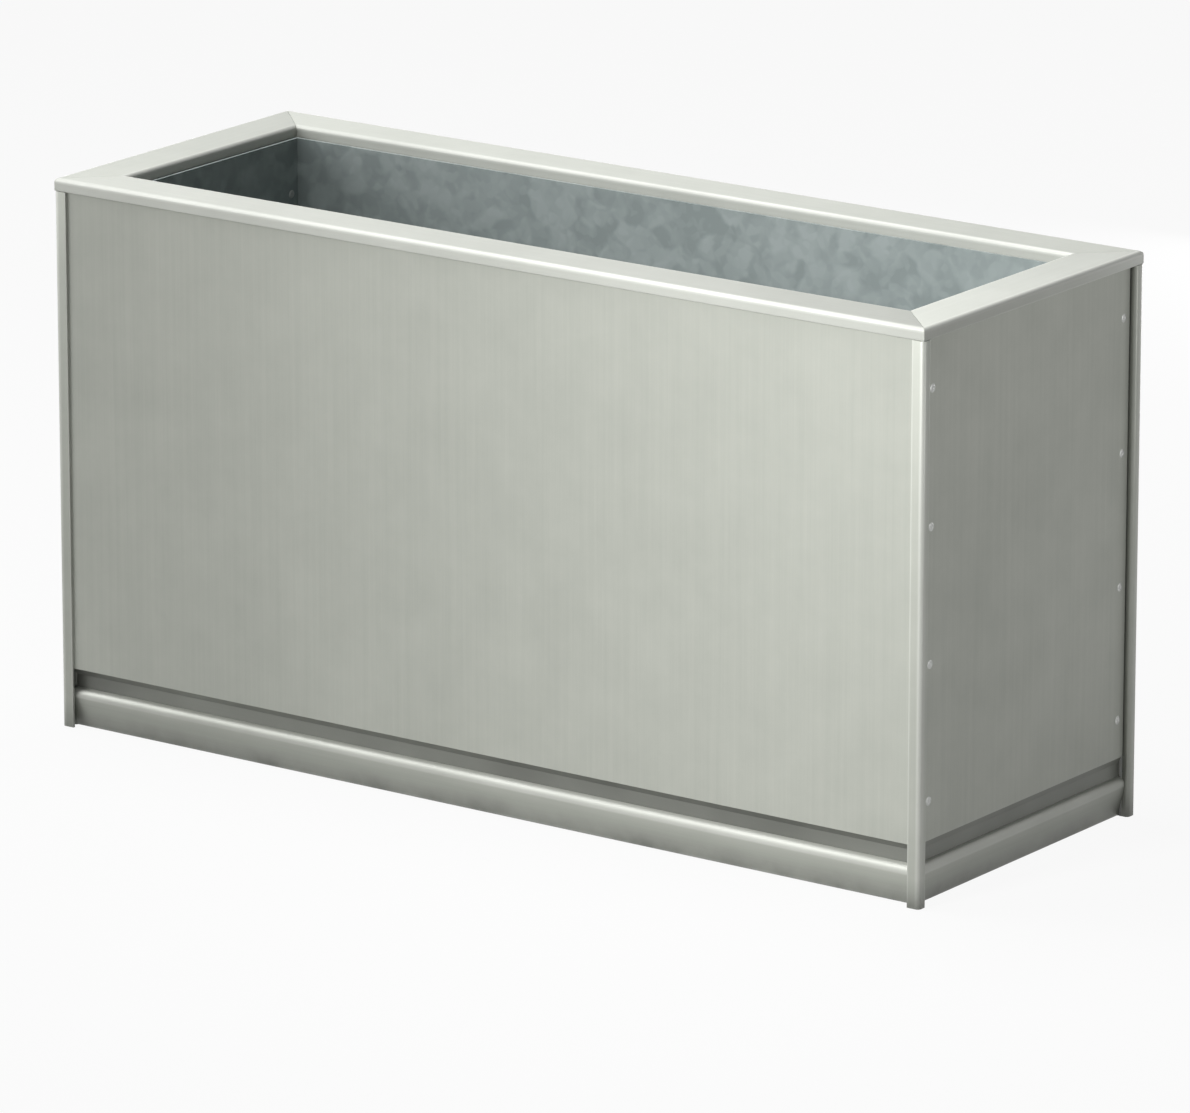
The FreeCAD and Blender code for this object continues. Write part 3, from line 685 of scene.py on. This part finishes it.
def eased_piece(context, name, node, body):
    """A galvanised piece with the shape of its node and broken edges, in place of the node."""
    made = bmesh.new()
    made.from_mesh(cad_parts[node].data)
    bmesh.ops.remove_doubles(made, verts=made.verts, dist=NODE_MERGE)
    lean = math.radians(FLAT_ANGLE)
    bmesh.ops.dissolve_limit(made, angle_limit=lean, verts=made.verts, edges=made.edges)
    mesh = bpy.data.meshes.new(name)
    made.to_mesh(mesh)
    made.free()
    for layer in ("custom_normal", "sharp_edge", "sharp_face"):
        if layer in mesh.attributes:
            mesh.attributes.remove(mesh.attributes[layer])
    mesh.materials.clear()
    mesh.materials.append(finish_of(context.scene, "galvanised_sheet"))
    source = placed(f"{name}_source", mesh)
    break_edges(source, context.scene.planter_folds.edge)
    level = source.modifiers.new("level_flats", "WEIGHTED_NORMAL")
    level.weight = FLAT_WEIGHT
    new_piece(name, evaluated_mesh(source, name), body, [node])


# Operators

class PLANTER_OT_rim(bpy.types.Operator):
    """Fold the four mitred lengths of the rim"""
    bl_idname = "planter.rim"
    bl_label = "Rim"

    def execute(self, context):
        folds = context.scene.planter_folds
        sheet, top = folds.frame_sheet, rim_high.z
        middle, bend = sheet / 2, folds.rim_bend - sheet / 2
        inner = rim_high.y + half_width - middle
        line = bent_line([
            (middle, top - folds.rim_skirt),
            (middle, top - middle, bend),
            (inner, top - middle, bend),
            (inner, rim_low.z),
        ], folds.bend_steps)
        section = sheet_faces(line, sheet)
        finish = finish_of(context.scene, "satin_rim")
        for side in SIDES:
            values = {"Length": run_of(side), "Stop": 0.0, "Seam": folds.seam, "Mitre": 1.0, "Finish": finish}
            mesh = folded_length(f"{side}_rim_length", section, values, folds.edge)
            mesh.transform(side_turn(side))
            shade(mesh)
            new_piece(f"{side}_rim_length", mesh, "shell", [f"rim_{side}"])
        return {"FINISHED"}


class PLANTER_OT_corner_angles(bpy.types.Operator):
    """Fold the four strips over the upright corners"""
    bl_idname = "planter.corner_angles"
    bl_label = "Corner angles"

    def execute(self, context):
        folds, base = context.scene.planter_folds, context.scene.planter_base
        sheet, leg = folds.frame_sheet, folds.corner_end_leg
        middle, bend = sheet / 2, folds.corner_bend - sheet / 2
        behind = panel_depths("right")[1] + middle
        # The corner's bend is painted lighter as wear and highlight; the crease behind the end panel is painted
        # with shade.
        line = bent_line([
            (middle, folds.corner_front_leg),
            (middle, middle, bend),
            (leg - middle, middle, bend, 0.0),
            (leg - middle, behind, bend, -1.0),
            (leg + folds.corner_flange, behind),
        ], folds.bend_steps)
        section = sheet_faces(line, sheet)
        finish = finish_of(context.scene, "satin_sheet")
        for end, way in ENDS.items():
            for face, towards in FACES.items():
                node = f"corner_angle_{face}_{end}"
                low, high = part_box(node)
                name = f"{face}_{end}_corner_strip"
                height = high.z - low.z
                values = {"Length": height, "Stop": 0.0, "Seam": 0.0, "Mitre": 0.0, "Finish": finish}
                cleared = base.lap_top + folds.seam - height / 2
                notch = (
                    Vector((-height, leg + folds.seam / 2, -sheet)),
                    Vector((cleared, half_width, half_width)),
                )
                mesh = folded_length(name, section, values, folds.edge, notch)
                upright = Matrix((
                    (0, 0, -way, half_length * way),
                    (0, -towards, 0, half_width * towards),
                    (1, 0, 0, (low.z + high.z) / 2),
                    (0, 0, 0, 1),
                ))
                mesh.transform(upright)
                if upright.determinant() < 0:
                    mesh.flip_normals()
                shade(mesh)
                new_piece(name, mesh, "shell", [node])
        return {"FINISHED"}


class PLANTER_OT_panels(bpy.types.Operator):
    """Make the four panels, each swelling a little in its middle"""
    bl_idname = "planter.panels"
    bl_label = "Panels"

    def execute(self, context):
        folds = context.scene.planter_folds
        finish = finish_of(context.scene, "satin_sheet")
        for side in SIDES:
            node = f"{side}_panel"
            low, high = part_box(node)
            half_run = (high.x - low.x) / 2 if side in FACES else (high.y - low.y) / 2
            name = f"{side}_sheet"
            mesh = self.panel_mesh(name, half_run, low.z, high.z, panel_depths(side), folds.panel_crown)
            mesh.transform(side_turn(side))
            mesh.materials.append(finish)
            shade(mesh)
            new_piece(name, mesh, "shell", [node])
        return {"FINISHED"}

    def panel_mesh(self, name, half_run, bottom, top, depths, crown):
        """A thin sheet drawn for the front, with its grain upright."""
        columns = max(int(half_run / PANEL_STEP), PANEL_COLUMNS)
        made = bmesh.new()
        grid = bmesh.ops.create_grid(made, x_segments=columns, y_segments=PANEL_ROWS, size=1)
        for vert in grid["verts"]:
            u, v = vert.co.x, vert.co.y
            swell = crown * ((1 - u * u) * (1 - v * v)) ** PANEL_FALL
            height = bottom + (top - bottom) * (v + 1) / 2
            vert.co = Vector((half_run * u, depths[0] - swell, height))
        sheet = list(made.verts) + list(made.edges) + list(made.faces)
        for item in bmesh.ops.duplicate(made, geom=sheet)["geom"]:
            if isinstance(item, bmesh.types.BMVert):
                item.co.y += depths[1] - depths[0]
        bmesh.ops.bridge_loops(made, edges=[edge for edge in made.edges if edge.is_boundary])
        bmesh.ops.recalc_face_normals(made, faces=made.faces)
        grain = made.loops.layers.uv.new("grain")
        for face in made.faces:
            for loop in face.loops:
                spot = loop.vert.co
                loop[grain].uv = (spot.z, spot.x + spot.y)
        mesh = bpy.data.meshes.new(name)
        made.to_mesh(mesh)
        made.free()
        return mesh


class PLANTER_OT_base_rails(bpy.types.Operator):
    """Fold the four base rails: lap, groove, rounded nose, drawn-in face and foot"""
    bl_idname = "planter.base_rails"
    bl_label = "Base rails"

    def execute(self, context):
        folds, base = context.scene.planter_folds, context.scene.planter_base
        finish = finish_of(context.scene, "satin_sheet")
        for side in SIDES:
            line = self.middle_line(folds, base, panel_depths(side)[1])
            section = sheet_faces(line, folds.rail_sheet)
            stop, seam = folds.corner_end_leg, folds.seam + 2 * base.lead
            if side in FACES:
                # These two tuck a little way into the bend of the corner strip
                tuck = folds.corner_bend / 4
                stop = panel_depths("right")[1] + folds.frame_sheet - tuck
                seam = folds.seam - 2 * base.lead
            values = {
                "Length": run_of(side), "Stop": stop + folds.seam,
                "Seam": seam, "Mitre": 1.0, "Finish": finish,
            }
            mesh = folded_length(f"{side}_base_length", section, values)
            mesh.transform(side_turn(side))
            shade(mesh)
            new_piece(f"{side}_base_length", mesh, "shell", [f"base_rail_{side}"])
        return {"FINISHED"}

    def middle_line(self, folds, base, lap):
        """Middle line of the rail's sheet, from the lap down to the foot."""
        middle, crease = folds.rail_sheet / 2, base.crease
        groove, nose = base.groove_depth + middle, base.nose_depth + middle
        ledge = base.nose_top - middle
        # The groove's three creases are painted with shade; the nose and the bend to the foot are painted
        # lighter as wear and highlight.
        return bent_line([
            (lap + middle, base.lap_top),
            (lap + middle, base.groove_top, crease, -1.0),
            (groove, base.groove_top - base.groove_slope, crease, -1.0),
            (groove, ledge, base.tight_crease, -1.0),
            (nose, ledge, base.nose_bend),
            (nose + base.face_draw, middle, crease),
            (base.foot_depth, middle),
        ], folds.bend_steps)


class PLANTER_OT_floor_pan(bpy.types.Operator):
    """Finish the floor pan and the bearers that carry the liner"""
    bl_idname = "planter.floor_pan"
    bl_label = "Floor pan and bearers"

    def execute(self, context):
        eased_piece(context, "floor_tray", "floor_pan", "shell")
        for place in ("left", "middle", "right"):
            eased_piece(context, f"{place}_bearer", f"liner_bearer_{place}", "shell")
        return {"FINISHED"}


class PLANTER_OT_liner(bpy.types.Operator):
    """Finish the liner's wrap and end plates"""
    bl_idname = "planter.liner"
    bl_label = "Liner"

    def execute(self, context):
        eased_piece(context, "liner_folded_wrap", "liner_wrap", "liner")
        for end in ENDS:
            eased_piece(context, f"{end}_liner_plate", f"liner_end_{end}", "liner")
        return {"FINISHED"}


class PLANTER_OT_rivets(bpy.types.Operator):
    """Set the corner rivets and the liner's rivets"""
    bl_idname = "planter.rivets"
    bl_label = "Rivets"

    def execute(self, context):
        sizes = context.scene.planter_rivets
        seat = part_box("corner_rivets")[1].x - sizes.rise
        self.set_rivets(context, "corner_rivet_row", "corner_rivets", "shell", seat, 1, sizes.corner_grip)
        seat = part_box("liner_rivets")[1].x - sizes.tail_rise - sizes.liner_grip
        self.set_rivets(context, "liner_rivet_row", "liner_rivets", "liner", seat, -1, sizes.liner_grip)
        return {"FINISHED"}

    def set_rivets(self, context, name, node, body, seat, outward, grip):
        """One rivet at every height of the four upright rows."""
        sizes = context.scene.planter_rivets
        low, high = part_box(node)
        first, last, side = low.z + sizes.head / 2, high.z - sizes.head / 2, high.y - sizes.head / 2
        seats = []
        for way in ENDS.values():
            for face in FACES.values():
                for number in range(sizes.count):
                    height = first + (last - first) * number / (sizes.count - 1)
                    seats.append(((seat * way, side * face, height), (way * outward, 0, 0)))
        values = {
            "Head": sizes.head, "Rise": sizes.rise, "Grip": grip, "Tail": sizes.tail,
            "Tail rise": sizes.tail_rise, "Finish": finish_of(context.scene, "satin_rivet"),
        }
        new_piece(name, rivet_row(name, seats, values), body, [node])


class PLANTER_OT_stage(bpy.types.Operator):
    """Set the pale floor, the soft light and the camera"""
    bl_idname = "planter.stage"
    bl_label = "Stage"

    def execute(self, context):
        stage = context.scene.planter_stage
        self.floor(stage)
        self.world(context, stage)
        for name, (place, target, size) in LAMPS.items():
            spread = getattr(stage, f"{name}_spread", math.pi)
            self.lamp(f"{name}_light", place, target, size, getattr(stage, f"{name}_power"), spread)
        self.camera(context, stage)
        context.scene.view_settings.view_transform = "Standard"
        return {"FINISHED"}

    def seen(self, tree):
        """1 for rays from the camera, and for reflected and transmitted ones."""
        path = add(tree, "ShaderNodeLightPath").outputs
        seen = compute(tree, "MAXIMUM", path["Is Camera Ray"], path["Is Glossy Ray"])
        return compute(tree, "MAXIMUM", seen, path["Is Transmission Ray"])

    def floor(self, stage):
        """A wide pale floor that looks white and keeps the planter's shadow."""
        mesh = bpy.data.meshes.new("floor")
        ways = ((-1, -1), (1, -1), (1, 1), (-1, 1))
        corners = [(x * FLOOR_REACH, y * FLOOR_REACH, FLOOR_LEVEL) for x, y in ways]
        mesh.from_pydata(corners, [], [(0, 1, 2, 3)])
        floor = placed("floor", mesh)
        material = bpy.data.materials.new("pale_floor")
        material.use_nodes = True
        tree = material.node_tree
        tree.nodes.clear()
        plain = add(tree, "ShaderNodeBsdfDiffuse", {"Color": opaque(stage.floor)})
        bright = add(tree, "ShaderNodeEmission", {"Color": (1, 1, 1, 1), "Strength": 1.0})
        part = compute(tree, "MULTIPLY", self.seen(tree), stage.floor_white)
        mix = add(tree, "ShaderNodeMixShader", {0: part, 1: plain.outputs[0], 2: bright.outputs[0]})
        add(tree, "ShaderNodeOutputMaterial", {"Surface": mix.outputs[0]})
        mesh.materials.append(material)

    def world(self, context, stage):
        """Soft light from all round, seen as plain white."""
        world = bpy.data.worlds.new("studio")
        world.use_nodes = True
        tree = world.node_tree
        tree.nodes.clear()
        soft = add(tree, "ShaderNodeBackground", {"Color": (1, 1, 1, 1), "Strength": stage.ambient})
        white = add(tree, "ShaderNodeBackground", {"Color": (1, 1, 1, 1), "Strength": 1.0})
        mix = add(tree, "ShaderNodeMixShader", {0: self.seen(tree), 1: soft.outputs[0], 2: white.outputs[0]})
        add(tree, "ShaderNodeOutputWorld", {"Surface": mix.outputs[0]})
        context.scene.world = world

    def aim(self, seat, place, way):
        """Put a lamp or a camera at a place, facing a way."""
        seat.location = place
        seat.rotation_mode = "QUATERNION"
        seat.rotation_quaternion = way.to_track_quat("-Z", "Y")

    def lamp(self, name, place, target, size, power, spread):
        """A soft box of this width and height, aimed at a target, with the fan of its grid."""
        light = bpy.data.lights.new(name, "AREA")
        light.shape = "RECTANGLE"
        light.size, light.size_y = size
        light.energy = power
        light.spread = spread
        lamp = placed(name, light)
        lamp.visible_camera = False
        self.aim(lamp, place, Vector(target) - Vector(place))

    def camera(self, context, stage):
        """The camera at the photograph's angle."""
        data = bpy.data.cameras.new("view")
        data.lens = stage.lens
        data.sensor_width = SENSOR_WIDTH
        data.shift_x = stage.shift
        data.clip_end = VIEW_END
        camera = placed("view", data)
        back = Vector((
            math.sin(stage.azimuth) * math.cos(stage.elevation),
            -math.cos(stage.azimuth) * math.cos(stage.elevation),
            math.sin(stage.elevation),
        ))
        self.aim(camera, Vector((0, 0, stage.target_height)) + back * stage.distance, -back)
        context.scene.camera = camera


class PLANTER_PT_sidebar(bpy.types.Panel):
    """Lists the planter's pieces and their settings"""
    bl_idname = "PLANTER_PT_sidebar"
    bl_label = "Planter"
    bl_space_type = "VIEW_3D"
    bl_region_type = "UI"
    bl_category = "Planter"

    def draw(self, context):
        for name in GROUPS:
            box = self.layout.box()
            group = getattr(context.scene, name)
            for key in group.__annotations__:
                box.prop(group, key)
        for operator in OPERATORS:
            self.layout.operator(operator.bl_idname)


GROUPS = {
    "planter_folds": PlanterFolds,
    "planter_base": PlanterBase,
    "planter_rivets": PlanterRivets,
    "planter_finish": PlanterFinish,
    "planter_stage": PlanterStage,
}
OPERATORS = (
    PLANTER_OT_rim,
    PLANTER_OT_corner_angles,
    PLANTER_OT_panels,
    PLANTER_OT_base_rails,
    PLANTER_OT_floor_pan,
    PLANTER_OT_liner,
    PLANTER_OT_rivets,
    PLANTER_OT_stage,
)
CLASSES = (*GROUPS.values(), *OPERATORS, PLANTER_PT_sidebar)


def register():
    """Register the classes and their settings on the scene."""
    for cls in CLASSES:
        bpy.utils.register_class(cls)
    for name, group in GROUPS.items():
        setattr(bpy.types.Scene, name, PointerProperty(type=group))


def unregister():
    """Take the settings and the classes away."""
    for name in GROUPS:
        delattr(bpy.types.Scene, name)
    for cls in reversed(CLASSES):
        bpy.utils.unregister_class(cls)


def main():
    """Dress the planter."""
    register()
    bpy.ops.planter.rim()
    bpy.ops.planter.corner_angles()
    bpy.ops.planter.panels()
    bpy.ops.planter.base_rails()
    bpy.ops.planter.floor_pan()
    bpy.ops.planter.liner()
    bpy.ops.planter.rivets()
    bpy.ops.planter.stage()


if __name__ == "__main__":
    main()
